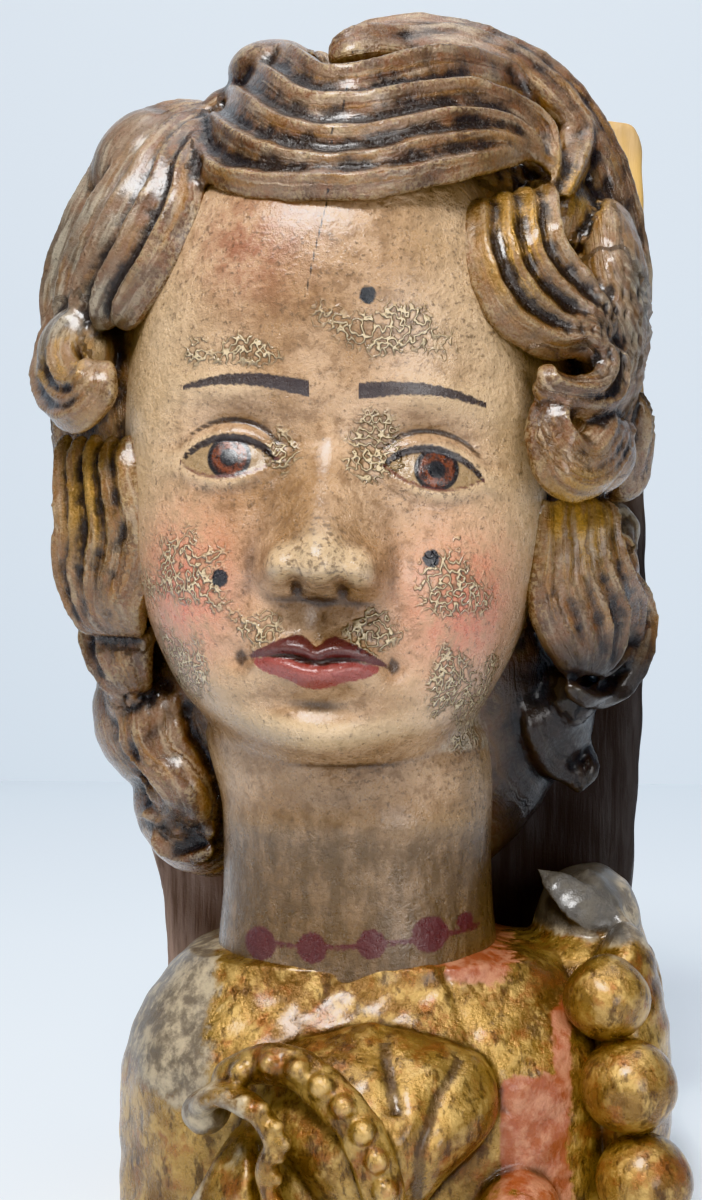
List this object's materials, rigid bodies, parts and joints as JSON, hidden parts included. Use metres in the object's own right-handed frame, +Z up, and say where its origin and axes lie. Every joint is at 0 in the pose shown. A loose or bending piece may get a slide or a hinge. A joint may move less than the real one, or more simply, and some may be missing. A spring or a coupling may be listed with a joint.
{
  "type": "cherub figure",
  "caption": "Painted and gilded carved wooden cherub bust with waved hair, scrolled leaf collar and a string of round fruits, the plain block left behind the head",
  "frame": {"origin": "centre of the flat sawn underside, below the neck", "axes": "+Z up from the sawn underside to the crown, -Y the way the face looks, +X to the viewer's right of the face"},
  "size_m": [0.1913, 0.1713, 0.3501],
  "materials": {
    "painted_wood": "aged oil paint and gilding over gesso, glossy varnish, worn to bare wood at the edges"
  },
  "bodies": {
    "root": {"cherub_bust": "painted_wood"}
  },
  "joints": []
}
